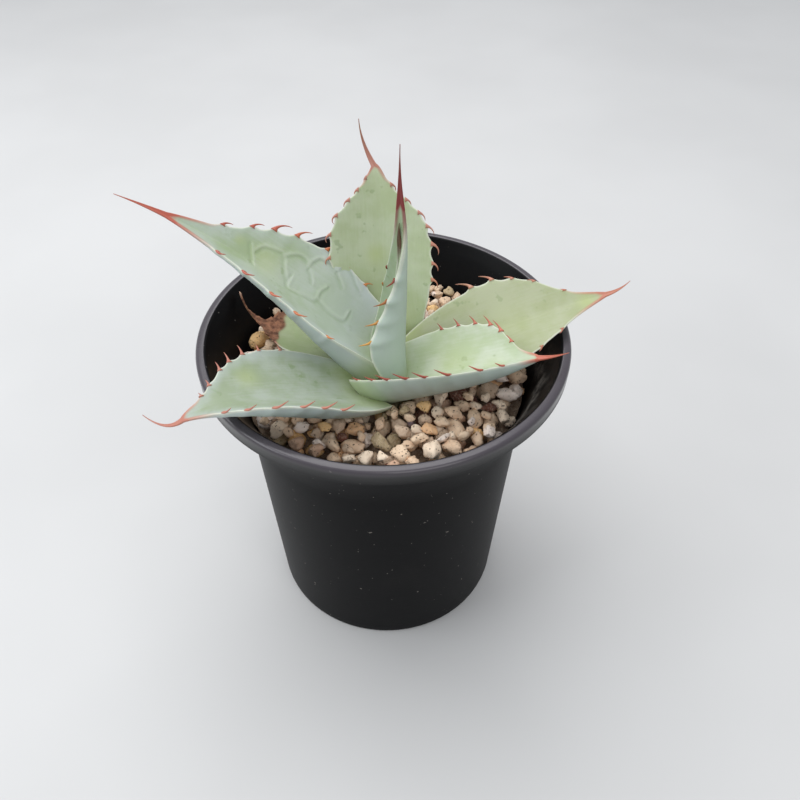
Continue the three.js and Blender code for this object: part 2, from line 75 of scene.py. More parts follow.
LEAVES = {
    "leaf_spear": dict(
        line=[(1.5, -8, 106), (2.5, -8, 122), (6.5, -8, 140), (5, -6.8, 153)],
        spine=(5, -6.5, 159),
        face=[(-1, -0.4, 0)] * 3,
        left=[2.4, 2.6, 2.4, 2, 1.6, 1.1, 0.7],
        right=[2.4, 2.6, 2.4, 2, 1.6, 1.1, 0.7],
        fold=[(0.2, 0.2, 0.2)] * 2,
        cup=[(1.2, 1.2, 1.2)] * 2,
        thick=(2, 1.6, 0.5),
        teeth=[[], []],
        hook=[(0, 0, 0)] * 2,
    ),
    "leaf_heart": dict(
        line=[(3, -8.5, 103), (2.2, -8, 120), (5.6, -7.5, 142), (5.2, -5.5, 165.5)],
        spine=(5.2, -5.5, 182),
        face=[(-0.75, -0.66, 0), (-1, -0.05, 0), (-0.3, -1, 0)],
        left=[6.5, 10.1, 10.5, 9.6, 5.3, 2.2, 0.9],
        right=[8.7, 11.6, 12.9, 7.3, 3.6, 2.6, 0.9],
        fold=[(0.2, 0.2, 0.2), (0.25, 0.3, 0.2)],
        cup=[(0.41, 0.47, 0.2), (1.2, 0.81, 0.2)],
        thick=(3.5, 2.4, 0.5),
        teeth=[[(0.52, 1.6), (0.65, 1.6)], [(0.37, 3.2), (0.46, 3.6), (0.56, 4), (0.66, 3.4)]],
        hook=[(-0.4, -0.8, 0), (-0.2, 0.4, 1.3)],
    ),
    "leaf_left": dict(
        line=[(0, -1, 105.5), (-18, 2, 118.5), (-38.5, 8.5, 138), (-64, 7.5, 153)],
        spine=(-78, 7.5, 160),
        face=[(0.48, -0.26, 0.8), (0.52, -0.25, 0.8), (0.52, -0.26, 0.8)],
        left=[12.5, 15.5, 18.5, 15.5, 11, 6, 0.9],
        right=[12.5, 14, 17, 16.5, 12, 4.5, 0.9],
        fold=[(0.36, 0.38, 0.32), (0.28, 0.3, 0.3)],
        cup=[(0.5, 0.33, 0.2), (0.3, 0.3, 0.2)],
        thick=(12, 4.4, 0.5),
        teeth=[
            [(0.31, 2), (0.46, 3.6), (0.57, 3.4), (0.69, 3.4), (0.8, 2.4)],
            [(0.25, 2.2), (0.35, 2.6), (0.46, 3.6), (0.58, 4.8), (0.66, 5.8), (0.73, 3.6), (0.82, 3)],
        ],
        hook=[(-1.1, -0.5, 0.8), (-0.5, -1.1, 0.2)],
    ),
    "leaf_back": dict(
        line=[(6, 5, 99.5), (-6, 15, 114.5), (2, 24, 150), (-3, 28, 158)],
        spine=(-7, 26, 174),
        face=[(0, -1, 0.5)] * 3,
        left=[7, 9.5, 13.5, 16.5, 14.5, 6.5, 0.8],
        right=[9, 12.5, 16, 17, 14, 4, 0.8],
        fold=[(0.1, 0.1, 0.1)] * 2,
        cup=[(0.4, 0.3, 0.2)] * 2,
        thick=(4.5, 3.2, 0.5),
        teeth=[
            [(0.5, 2.6), (0.6, 2.8), (0.69, 3), (0.77, 2.8), (0.83, 2.4), (0.91, 1.4)],
            [(0.39, 3.2), (0.47, 2.8), (0.56, 4), (0.64, 3.2), (0.7, 3), (0.76, 2.6), (0.84, 2.6)],
        ],
        hook=[(-0.2, -1.9, 0.1), (-0.3, -1.5, 0.1)],
    ),
    "leaf_front_right": dict(
        line=[(1, -11, 100.5), (13, -18.5, 111.5), (40, -17.5, 118), (47, -18.5, 119.5)],
        spine=(57, -15.5, 119),
        face=[(-0.15, 0.15, 1), (-0.2, 0.05, 1), (-0.2, 0.05, 1)],
        left=[13.5, 14.5, 16, 16, 13.5, 4, 0.9],
        right=[16, 17.5, 17.5, 17, 13.5, 5.5, 0.9],
        fold=[(0.44, 0.2, 0.4), (0.5, 0.44, 0.44)],
        cup=[(0.48, 0.45, 0.4)] * 2,
        thick=(5, 4, 0.5),
        teeth=[
            [(0.37, 2), (0.47, 2.4), (0.57, 2.8), (0.66, 3.4), (0.72, 4), (0.78, 2.2)],
            [(0.06, 1.6), (0.14, 2.4), (0.21, 3.6), (0.29, 4.2), (0.37, 4), (0.47, 4.6), (0.61, 3.8),
             (0.72, 2.4)],
        ],
        hook=[(-0.4, -0.4, 0.3), (-1.0, -0.5, 1.0)],
    ),
    "leaf_right": dict(
        line=[(9, -5, 103), (27.5, 0, 113), (49.5, 3, 120.5), (71.5, 8, 123.5)],
        spine=(80, 12.5, 125.5),
        face=[(-0.2, -0.4, 1)] * 3,
        left=[10, 13, 15, 16, 12.5, 4.5, 0.8],
        right=[10, 13.5, 15.5, 16, 11.5, 5.5, 0.8],
        fold=[(0.1, 0.1, 0.1)] * 2,
        cup=[(0.2, 0.2, 0.2)] * 2,
        thick=(4, 3, 0.5),
        teeth=[
            [(0.42, 5), (0.52, 4), (0.61, 2.2), (0.7, 1.6), (0.82, 1.4)],
            [(0.36, 1.6), (0.5, 1.6), (0.62, 1.4), (0.74, 1.2)],
        ],
        hook=[(-0.9, -0.6, 0.2), (-0.4, -0.8, 0.1)],
    ),
    "leaf_front_left": dict(
        line=[(-5, -14.5, 102), (-22, -29, 112), (-43.5, -38.5, 127), (-55.5, -45, 120)],
        spine=(-67, -43, 120),
        face=[(0.05, -0.1, 1), (0.05, 0.1, 1), (0.15, 0, 1)],
        left=[11.5, 15.5, 18.5, 17, 12.5, 6.5, 0.8],
        right=[11, 15.5, 18, 17.5, 12.5, 4, 0.8],
        fold=[(0.15, 0.27, 0.27), (0.1, 0.17, 0.19)],
        cup=[(0.25, 0.33, 0.26), (0.26, 0.28, 0.2)],
        thick=(5, 4, 0.5),
        teeth=[
            [(0.33, 3.4), (0.41, 3.8), (0.49, 3.4), (0.59, 3.8), (0.69, 2.6), (0.78, 2)],
            [(0.36, 1.4), (0.47, 1.8), (0.56, 3.2), (0.64, 3.4), (0.7, 3), (0.78, 2.4), (0.84, 2)],
        ],
        hook=[(-1.1, -0.4, 0.9), (-0.1, 0.4, 0.1)],
    ),
    "leaf_withered": dict(
        line=[(-5.5, -2, 102.5), (-15, 4, 108), (-27, 11, 103.5), (-37.5, 12, 106)],
        spine=(-50, 22, 114),
        face=[(0, 0, 1)] * 3,
        left=[9, 10, 11, 12, 12, 10.5, 7],
        right=[9, 10.5, 11.5, 12, 11.5, 9.5, 7],
        fold=[(0.1, 0.1, 0.1)] * 2,
        cup=[(0.2, 0.2, 0.3)] * 2,
        thick=(3.5, 2.6, 1),
        teeth=[[], []],
        hook=[(0, 0, 0)] * 2,
    ),
}

# The rosette was lifted as one in the frame until it rests on the bed, so its lift is read back here.
ROSETTE_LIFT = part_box("leaf_heart")[1].z / MM - LEAVES["leaf_heart"]["spine"][2]

# Marks that the margin of a neighbouring leaf pressed into the left leaf while both were in bud, as
# lines of (share of the blade, share of the half width).
# Their colour is partly painted light: painted shade on the pressed-in side of each print and a painted
# highlight on the raised side.
BUD_PRINTS = [
    [(0.702, 0.42), (0.694, 0.29), (0.686, 0.17), (0.676, 0.07), (0.664, -0.09)],
    [(0.676, 0.31), (0.668, 0.41), (0.654, 0.49), (0.634, 0.54), (0.61, 0.55), (0.592, 0.52),
     (0.576, 0.43), (0.562, 0.32), (0.548, 0.21), (0.534, 0.12), (0.52, 0.04)],
    [(0.572, 0.51), (0.562, 0.57), (0.546, 0.64), (0.528, 0.67), (0.51, 0.66), (0.492, 0.6),
     (0.476, 0.5), (0.458, 0.42), (0.44, 0.34)],
    [(0.482, 0.55), (0.478, 0.66), (0.464, 0.76), (0.442, 0.82), (0.42, 0.85), (0.4, 0.83), (0.38, 0.79),
     (0.364, 0.72), (0.348, 0.67), (0.328, 0.63)],
    [(0.38, 0.81), (0.372, 0.89), (0.356, 0.94), (0.334, 0.96), (0.308, 0.94), (0.284, 0.88), (0.26, 0.82)],
    [(0.518, 0.18), (0.518, 0.07), (0.516, -0.04), (0.504, -0.1), (0.48, -0.06), (0.452, -0.01),
     (0.42, 0.03), (0.394, 0.06), (0.384, 0.12), (0.388, 0.21), (0.388, 0.3), (0.378, 0.41)],
    [(0.38, 0.11), (0.358, 0.09), (0.326, 0.06), (0.296, 0.05), (0.268, 0.06), (0.246, 0.1),
     (0.24, 0.18), (0.242, 0.29)],
]

# Soft stains on the upper faces as (share, share of the half width, radius, strength): positive ones
# are yellowish green, negative ones dark green.
STAINS = {
    "leaf_back": [(0.5, -0.1, 3.0, 0.8), (0.2, 0.2, 7.0, 0.8)],
    "leaf_left": [(0.79, 0.62, 1.3, -0.6), (0.75, 0.5, 1.6, 0.5), (0.63, 0.2, 5.0, 0.5)],
    "leaf_front_left": [
        (0.31, 0.44, 1.6, -0.8), (0.26, 0.2, 1.2, -0.5), (0.58, 0.5, 3.5, 0.6), (0.34, 0.62, 1.0, -0.5),
    ],
    "leaf_front_right": [(0.42, -0.2, 7.0, 0.5), (0.66, 0.1, 4.0, 0.4)],
    "leaf_right": [(0.9, 0.3, 3.0, 0.7), (0.5, 0.1, 9.0, 0.3)],
}

# Colours of each leaf's skin, margin and horn: (green, bloom, horn near the base, horn near the tip).
CORAL = (0.42, 0.095, 0.06)
TINTS = {
    # The spear's green, bloom and horn are far darker than the other leaves': painted shade for the dark
    # slot inside the heart leaf where it sits.
    "leaf_spear": ((0.09, 0.16, 0.05), (0.20, 0.27, 0.13), (0.09, 0.10, 0.03), (0.10, 0.05, 0.025)),
    "leaf_heart": ((0.28, 0.37, 0.21), (0.38, 0.45, 0.33), (0.60, 0.30, 0.05), (0.19, 0.022, 0.02)),
    "leaf_left": ((0.29, 0.37, 0.21), (0.42, 0.48, 0.40), (0.55, 0.19, 0.06), CORAL),
    "leaf_back": ((0.40, 0.47, 0.27), (0.50, 0.56, 0.40), (0.50, 0.20, 0.12), (0.46, 0.20, 0.15)),
    "leaf_front_right": ((0.38, 0.46, 0.28), (0.52, 0.57, 0.48), (0.34, 0.07, 0.045), (0.50, 0.14, 0.09)),
    "leaf_right": ((0.31, 0.35, 0.18), (0.39, 0.42, 0.28), (0.50, 0.26, 0.17), (0.46, 0.17, 0.11)),
    "leaf_front_left": ((0.26, 0.32, 0.20), (0.38, 0.43, 0.37), (0.48, 0.18, 0.12), (0.46, 0.18, 0.13)),
    "leaf_withered": ((0.27, 0.34, 0.16), (0.36, 0.41, 0.25), CORAL, CORAL),
}


# ---------- shader building


class Value:
    """A number socket. Arithmetic on it adds Math nodes to its finish."""

    def __init__(self, finish, socket):
        self.finish = finish
        self.socket = socket

    def _math(self, operation, first, second=None):
        inputs = {0: first} if second is None else {0: first, 1: second}
        node = self.finish.add("ShaderNodeMath", {"operation": operation}, inputs)
        return Value(self.finish, node.outputs[0])

    def __add__(self, other):
        return self._math("ADD", self, other)

    __radd__ = __add__

    def __sub__(self, other):
        return self._math("SUBTRACT", self, other)

    def __rsub__(self, other):
        return self._math("SUBTRACT", other, self)

    def __mul__(self, other):
        return self._math("MULTIPLY", self, other)

    __rmul__ = __mul__

    def at_most(self, other):
        return self._math("MINIMUM", self, other)

    def at_least(self, other):
        return self._math("MAXIMUM", self, other)


class Finish:
    """A procedural material and the nodes it is made of."""

    def __init__(self, name):
        self.material = bpy.data.materials.new(name)
        self.material.use_nodes = True
        self.tree = self.material.node_tree
        self.tree.nodes.clear()

    def add(self, kind, settings=None, inputs=None):
        """A node of this kind: its settings are set first, then its sockets' values or links."""
        node = self.tree.nodes.new(kind)
        for key, value in (settings or {}).items():
            if key == "stops":
                ramp = node.color_ramp
                while len(ramp.elements) < len(value):
                    ramp.elements.new(1)
                for element, (place, colour) in zip(ramp.elements, value):
                    element.position = place
                    element.color = (*colour, 1)
            else:
                setattr(node, key, value)
        for key, value in (inputs or {}).items():
            socket = node.inputs[key]
            if isinstance(value, Value):
                self.tree.links.new(value.socket, socket)
            elif isinstance(value, bpy.types.NodeSocket):
                self.tree.links.new(value, socket)
            elif socket.type == "RGBA" and len(value) == 3:
                socket.default_value = (*value, 1)
            else:
                socket.default_value = value
        return node

    def value(self, kind, settings=None, inputs=None, output=0):
        return Value(self, self.add(kind, settings, inputs).outputs[output])

    def attribute(self, name):
        return self.value("ShaderNodeAttribute", {"attribute_name": name}, output="Fac")

    def place(self):
        """Where a point lies on the piece, in metres."""
        return self.add("ShaderNodeTexCoord").outputs["Object"]

    def noise(self, scale, detail=4, rough=0.55, vector=None):
        inputs = {"Scale": scale, "Detail": detail, "Roughness": rough, "Vector": vector or self.place()}
        return self.value("ShaderNodeTexNoise", None, inputs)

    def cells(self, scale):
        inputs = {"Scale": scale, "Randomness": 1.0, "Vector": self.place()}
        return self.value("ShaderNodeTexVoronoi", {"feature": "F1"}, inputs, "Distance")

    def step(self, value, low, high):
        """Rises smoothly from 0 to 1 as the value goes from low to high."""
        inputs = {"Value": value, "From Min": low, "From Max": high}
        return self.value("ShaderNodeMapRange", {"interpolation_type": "SMOOTHSTEP"}, inputs)

    def mix(self, factor, first, second, blend="MIX"):
        settings = {"data_type": "RGBA", "blend_type": blend, "clamp_factor": True}
        return self.add("ShaderNodeMix", settings, {0: factor, 6: first, 7: second}).outputs[2]

    def coated(self, colour, *coats):
        """The colour with each (share, tint) laid over it in turn. A coat without a share is left out."""
        for share, tint in coats:
            if share is not None:
                colour = self.mix(share, colour, tint)
        return colour

    def fibres(self, scale, detail):
        """Noise drawn out along the axes, finest where the scale is largest."""
        stretch = self.add("ShaderNodeMapping", None, {"Vector": self.place(), "Scale": scale})
        return self.noise(1, detail, 0.7, stretch.outputs[0])

    def bump(self, height, strength, distance):
        inputs = {"Strength": strength, "Distance": distance, "Height": height}
        return self.add("ShaderNodeBump", None, inputs).outputs[0]

    def surface(self, colour, rough, normal=None, **constants):
        inputs = {"Base Color": colour, "Roughness": rough, **constants}
        if normal is not None:
            inputs["Normal"] = normal
        shader = self.add("ShaderNodeBsdfPrincipled", None, inputs)
        self.add("ShaderNodeOutputMaterial", None, {"Surface": shader.outputs[0]})
        return self.material


# ---------- finishes


def leaf_finish(name, settings):
    """Waxy glaucous skin with pale margins, and red horn on the teeth and the terminal spine."""
    green, bloom, horn_low, horn_high = TINTS[name]
    finish = Finish(f"{name}_skin")
    along, across, edge, under, horn, shade, pressed, dry, stain = map(
        finish.attribute,
        ("along", "across_mm", "edge_mm", "under", "horn", "shade", "print", "dry", "stain"),
    )
    lanes = finish.add("ShaderNodeCombineXYZ", None, {0: across * 1.6, 1: along * 6, 2: under * 7})
    streaks = finish.noise(1, 3, 0.6, lanes.outputs[0])
    clouds = finish.noise(70, 4, 0.6)
    powder = finish.noise(900, 3, 0.7)
    cover = finish.step(clouds + (streaks - 0.5) * 0.22, 0.34, 0.66)
    spots = finish.step(finish.noise(260, 2, 0.5), 0.66, 0.72) * (1 - under)
    fresh = stain.at_least(0) * (0.6 + clouds * 0.6)
    dull = (0 - stain).at_least(0) * finish.step(finish.noise(800, 4, 0.7), 0.35, 0.6)
    crown = 1 - finish.step(along, 0.02, 0.2)
    rim = 1 - finish.step(edge + (powder - 0.5) * 0.4, 0.1, 0.75)
    horn_colour = finish.mix(finish.step(along, 0.3, 0.72), horn_low, horn_high)
    aged = finish.mix(shade * 0.55, horn_colour, (0.12, 0.02, 0.02))
    tip_rim = (1 - finish.step(edge, 0.3, 1.3)) * finish.step(along, 0.78, 0.95)
    wrinkles = finish.step(finish.noise(420, 5, 0.7), 0.3, 0.7)
    husk = finish.mix(wrinkles, (0.075, 0.026, 0.014), (0.34, 0.155, 0.085))
    husk = finish.mix(finish.step(shade, 0.4, 0.55) * 0.8, husk, (0.62, 0.42, 0.30))
    colour = finish.coated(
        green,
        (cover * 0.75 + 0.1, bloom),
        (under * 0.75, settings.under_colour),
        (spots * 0.35, (0.16, 0.24, 0.09)),
        (fresh.at_most(1) * 0.7, (0.43, 0.50, 0.19)),
        (dull, (0.19, 0.27, 0.11)),
        (bloom_low(finish, name, along, edge), (0.50, 0.55, 0.58)),
        (crown * 0.5, settings.crown_colour),
        # Bud prints: painted shade on the pressed-in side and a painted highlight on the raised side, over
        # the real dents in the face.
        (pressed.at_least(0) * 0.3, (0.24, 0.33, 0.18)),
        ((0 - pressed).at_least(0) * 0.25, (0.56, 0.62, 0.52)),
        (rim * 0.65, settings.margin_colour),
        ((horn + tip_rim * 0.85).at_most(1), aged),
        (dry, husk),
    )
    rough = 0.5 + powder * 0.14 - horn * 0.22 + dry * 0.3
    height = powder * 0.3 + streaks * 0.3 + finish.noise(2600, 2, 0.6) * 0.25
    normal = finish.bump(height, 0.35, 0.0002)
    return finish.surface(
        colour, rough, normal,
        **{"Subsurface Weight": 0.06, "Subsurface Radius": (0.5, 1.0, 0.3), "Subsurface Scale": 0.002},
    )


def bloom_low(finish, name, along, edge):
    """How thick the whitish bloom lies towards the foot and the edges of the two leaves that carry it."""
    if name == "leaf_left":
        return (1 - finish.step(along, 0.2, 0.62)) * 0.45 + (1 - finish.step(edge, 1, 6)) * 0.25
    if name == "leaf_front_left":
        return (1 - finish.step(edge, 1, 5)) * 0.3
    return None


def pumice_finish(name):
    """Rough porous stone: a tint for each grain, pits painted dark as the shade inside them, and a chalky,
    dusty grain.
    """
    finish = Finish(name)
    tint = finish.add("ShaderNodeAttribute", {"attribute_name": "tint"}).outputs["Color"]
    grit = finish.noise(1500, 5, 0.7)
    patches = finish.noise(380, 4, 0.6)
    pits = finish.cells(950)
    # The pits get a near-black colour, painted shade inside the pores, besides a dent in the bump.
    shaded_pits = (1 - finish.step(pits, 0.16, 0.30)) * finish.step(patches, 0.44, 0.56)
    colour = finish.mix(finish.step(patches, 0.35, 0.7) * 0.18, tint, (0.74, 0.58, 0.44), "MULTIPLY")
    specks = finish.step(finish.noise(2100, 2, 0.5), 0.66, 0.72)
    colour = finish.coated(
        colour,
        (finish.step(grit, 0.45, 0.75) * 0.35, (0.88, 0.74, 0.60)),
        (specks * 0.7, (0.06, 0.05, 0.04)),
        (shaded_pits * 0.75, (0.09, 0.065, 0.05)),
    )
    height = grit * 0.5 + patches * 0.6 - shaded_pits * 1.1
    normal = finish.bump(height, 0.9, 0.0005)
    return finish.surface(colour, 0.86 + grit * 0.12, normal, **{"Specular IOR Level": 0.25})


# Heights on the pot in metres, from where a finish starts to where it is full.
SATIN_FROM, SATIN_FULL = 0.1085, 0.1145
# Where the painted highlight along the top of the rim starts and where it is full.
HIGHLIGHT_FROM, HIGHLIGHT_FULL = 0.1122, 0.1149


def pot_finish(settings):
    """Black moulded plastic, satin on the rim, with fine dust, specks and light scuffs, and a painted
    highlight along the top of the rim.
    """
    finish = Finish("pot_plastic")
    parts = finish.add("ShaderNodeSeparateXYZ", None, {0: finish.place()})
    height = Value(finish, parts.outputs[2])
    haze = finish.noise(38, 5, 0.65)
    fine = finish.noise(1400, 3, 0.7)
    rubs = finish.fibres((90, 90, 900), 4)
    inside = finish.attribute("inside")
    crumbs = finish.step(finish.noise(620, 2, 0.5), 0.725, 0.755)
    crescent = finish.attribute("crescent")
    film = finish.step(haze, 0.5, 0.85) * 0.018 + finish.step(rubs, 0.64, 0.8) * 0.03
    scrub = finish.noise(160, 5, 0.75)
    ring = crescent * finish.step(scrub, 0.42, 0.66)
    dust = (film * settings.dust + crumbs * 0.55 * settings.dust + ring * 0.55).at_most(1)
    lip = finish.step(height, SATIN_FROM, SATIN_FULL)
    rim_highlight_band = finish.step(height, HIGHLIGHT_FROM, HIGHLIGHT_FULL) * (1 - inside)
    # The paler band along the top of the rim, outside only, is a painted highlight.
    colour = finish.coated(
        settings.plastic_colour, (dust, settings.dust_colour), (rim_highlight_band, settings.lip_highlight_colour))
    rough = 0.42 - lip * 0.17 + fine * 0.06 + dust * 0.6 + inside * 0.05
    normal = finish.bump(fine * 0.4 + rubs * 0.4, 0.12, 0.0003)
    gloss = lip * 0.95 * (1 - inside) + 0.03
    constants = {"Specular IOR Level": 0.07, "Coat Roughness": 0.22, "Coat Weight": gloss}
    return finish.surface(colour, rough, normal, **constants)


def stem_finish():
    """Dry fibrous stem."""
    finish = Finish("stem_tissue")
    fibres = finish.fibres((900, 900, 90), 5)
    colour = finish.mix(finish.step(fibres, 0.35, 0.65), (0.16, 0.12, 0.06), (0.42, 0.36, 0.2))
    return finish.surface(colour, 0.8 + fibres * 0.1, finish.bump(fibres, 0.8, 0.0006))


def floor_finish(settings):
    """Plain pale matt floor with the faintest mottling."""
    finish = Finish("floor_paper")
    soft = finish.noise(6, 3, 0.5)
    deep = tuple(0.94 * c for c in settings.floor_colour)
    colour = finish.mix(finish.step(soft, 0.3, 0.7), tuple(settings.floor_colour), deep)
    return finish.surface(colour, 0.85 + soft * 0.05)


# ---------- mesh helpers


def smooth(values, share):
    """A smooth curve through evenly spaced values, at shares from 0 to 1."""
    values = np.asarray(values, float)
    last = len(values) - 1
    place = np.clip(np.asarray(share, float), 0, 1) * last
    i = np.minimum(place.astype(int), last - 1)
    f = place - i
    b, c = values[i], values[i + 1]
    a = np.where(i == 0, 2 * b - c, values[np.maximum(i - 1, 0)])
    d = np.where(i == last - 1, 2 * c - b, values[np.minimum(i + 2, last)])
    return 0.5 * (2 * b + (c - a) * f + (2 * a - 5 * b + 4 * c - d) * f**2 + (3 * b - a - 3 * c + d) * f**3)


def unit(vectors):
    return vectors / np.linalg.norm(vectors, axis=-1, keepdims=True)


def bezier(points, share):
    """Points and unit tangents of a Bezier curve of any degree at shares from 0 to 1."""
    points = np.asarray(points, float)
    n = len(points) - 1
    u = np.asarray(share, float)[:, None]

    def blend(control, degree):
        return sum(
            math.comb(degree, k) * u**k * (1 - u) ** (degree - k) * control[k] for k in range(degree + 1)
        )

    return blend(points, n), unit(blend(np.diff(points, axis=0), n - 1))


def ease(value, low, high):
    """Rises smoothly from 0 to 1 as the value goes from low to high."""
    x = np.clip((value - low) / (high - low), 0, 1)
    return x * x * (3 - 2 * x)


def turned(points, matrix):
    return (np.array(matrix) @ points.T).T


def link(name, data):
    """A scene object of a mesh, a lamp or a camera."""
    item = bpy.data.objects.new(name, data)
    bpy.context.scene.collection.objects.link(item)
    return item


def put_marks(mesh, marks):
    """Stores one number for each point of the mesh under each name."""
    for key, values in marks.items():
        layer = mesh.attributes.new(key, "FLOAT", "POINT")
        layer.data.foreach_set("value", np.asarray(values, float))


def put_piece(name, points_mm, faces, finish, replaces=(), marks=None, tint=None):
    """A named piece from points in millimetres, riding the frame's one body."""
    mesh = bpy.data.meshes.new(name)
    mesh.from_pydata((np.asarray(points_mm) * MM).tolist(), [], faces)
    mesh.polygons.foreach_set("use_smooth", [True] * len(mesh.polygons))
    put_marks(mesh, marks or {})
    if tint is not None:
        layer = mesh.attributes.new("tint", "FLOAT_COLOR", "POINT")
        layer.data.foreach_set("color", np.asarray(tint, float).ravel())
    mesh.materials.append(finish)
    mesh.update()
    piece = link(name, mesh)
    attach(piece, "root")
    if replaces:
        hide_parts(*replaces)
    return piece


def ring_faces(rows, across, first=0):
    """Faces over rows of closed rings, with each end closed by one face."""
    faces = []
    for j in range(rows - 1):
        a = first + j * across
        for i in range(across):
            k = (i + 1) % across
            faces.append((a + i, a + k, a + across + k, a + across + i))
    faces.append(tuple(first + i for i in reversed(range(across))))
    faces.append(tuple(first + (rows - 1) * across + i for i in range(across)))
    return faces


# ---------- leaves


INNER_EDGE_MM = 9.0  # what spines and teeth carry, so that they get no pale margin
PRINT_DEPTH_MM = 0.13
SPINE_TIP_MM = 0.12
TOOTH_ROOT_MM = 0.9  # how much of a tooth lies inside the margin


class LeafForm:
    """The shape of one leaf: its centreline, its face and its cross-section at any share."""

    def __init__(self, leaf, scallop):
        self.leaf = leaf
        lift = np.array([0, 0, ROSETTE_LIFT])
        self.line = [np.array(p, float) + lift for p in leaf["line"]]
        spine_end = np.array(leaf["spine"], float) + lift
        self.spine_end = spine_end - 0.2 * unit(spine_end - self.line[3])
        steps, _ = bezier(self.line, np.linspace(0, 1, 60))
        self.length = float(np.linalg.norm(np.diff(steps, axis=0), axis=1).sum())
        self.scallop = scallop

    def frames(self, share):
        at, tangent = bezier(self.line, share)
        face = np.stack([smooth([f[k] for f in self.leaf["face"]], share) for k in range(3)], 1)
        face = unit(face - (face * tangent).sum(1, keepdims=True) * tangent)
        return at, tangent, face, np.cross(tangent, face)

    def half_width(self, share, side):
        """Half width with a low swelling under each tooth and a shallow dip between."""
        width = smooth(self.leaf["right" if side else "left"], share)
        for place, length in self.leaf["teeth"][side]:
            reach = (share - place) * self.length
            swelling = np.exp(-((reach / 1.5) ** 2)) - 0.3 * np.exp(-((reach / 4) ** 2))
            width = width + self.scallop * min(length / 3, 1.3) * swelling
        return np.maximum(width, 0.4)

    def across(self, place, s):
        """Distance from the midrib, in millimetres, at one share of the blade and of the half width."""
        return s * float(self.half_width(np.array([place]), 1 if s >= 0 else 0)[0])

    def skin(self, share, s, below):
        """Points of the upper or under face for one side value s, with their outward normals."""
        at, _, face, right = self.frames(share)
        side = 1 if s >= 0 else 0
        sign = 1 if s >= 0 else -1
        a = abs(s)
        width = self.half_width(share, side)
        fold = smooth(self.leaf["fold"][side], share)
        cup = smooth(self.leaf["cup"][side], share)
        # The fold is rounded over the midrib, so the channel has no crease.
        fold_here = fold * (1 - 0.5 * math.exp(-((a / 0.12) ** 2)))
        turn = fold + cup * a
        out = width * (np.sin(turn) - np.sin(fold)) / cup
        up = width * (np.cos(fold) - np.cos(turn)) / cup
        angle = fold_here + cup * a
        normal = face * np.cos(angle)[:, None] - right * (sign * np.sin(angle))[:, None]
        point = at + right * (sign * out)[:, None] + face * up[:, None]
        edge = 0.9 * math.sqrt(max(1 - a**10, 0)) * (1 - 0.45 * ease(share, 0.75, 1))
        depth = smooth(self.leaf["thick"], share) * (1 - a**2.2) + edge
        drop = 0.45 * (1 - math.sqrt(max(1 - a**10, 0)))
        shift = -depth - drop if below else np.full_like(depth, -drop)
        return point + normal * shift[:, None], normal


def polyline_distance(points, line):
    """Signed distance from points in a plane to a smooth open line, and the sign of its side."""
    knots = np.asarray(line, float)
    u = np.linspace(0, 1, 10 * len(knots))
    route = np.stack([smooth(knots[:, 0], u), smooth(knots[:, 1], u)], 1)
    best = np.full(len(points), 1e9)
    side = np.ones(len(points))
    for start, end in zip(route[:-1], route[1:]):
        along = end - start
        share = np.clip(((points - start) @ along) / max(along @ along, 1e-9), 0, 1)
        offset = points - start - share[:, None] * along
        gap = np.linalg.norm(offset, axis=1)
        nearer = gap < best
        best = np.where(nearer, gap, best)
        cross = along[0] * offset[:, 1] - along[1] * offset[:, 0]
        side = np.where(nearer, np.sign(cross), side)
    return best, side


def tooth_mesh(form, side, place, length, vary):
    """A marginal tooth: a flattened thorn rooted in the margin that curls as it tapers."""
    share = np.array([place])
    s = 1.0 if side else -1.0
    _, tangent, face, _ = form.frames(share)
    margin, _ = form.skin(share, s, False)
    inner, _ = form.skin(share, 0.93 * s, False)
    outward = unit(margin - inner)[0]
    tangent, face = tangent[0], face[0]
    normal = unit(np.cross(outward, tangent))
    lean, curl, rise = form.leaf["hook"][side]
    steps, sides = 12, 10
    u = np.linspace(0, 1, steps)
    angle = lean * ease(u, -0.1, 0.5) + curl * (1 + 0.5 * vary) * u**1.5
    heading = outward[None] * np.cos(angle)[:, None] + tangent[None] * np.sin(angle)[:, None]
    heading = unit(heading + rise * face * ease(u, -0.2, 0.6)[:, None])
    stride = length / (steps - 1)
    travel = np.concatenate([[np.zeros(3)], np.cumsum(heading[1:], axis=0)]) * stride
    path = margin[0] - 0.7 * outward + travel
    taper = (1 - u) ** 0.8
    wide = (0.30 + 0.05 * length) * (0.62 + 1.15 * (1 - u) ** 5) * taper + 0.05
    thin = (0.24 + 0.03 * length) * taper + 0.05
    across = unit(np.cross(heading, normal[None]))
    level = np.cross(across, heading)
    turn = np.linspace(0, 2 * np.pi, sides, endpoint=False)
    rings = path[:, None] + across[:, None] * (wide[:, None] * np.cos(turn))[..., None]
    rings = rings + level[:, None] * (thin[:, None] * np.sin(turn))[..., None]
    return rings.reshape(-1, 3), steps, sides, np.repeat(u, sides)


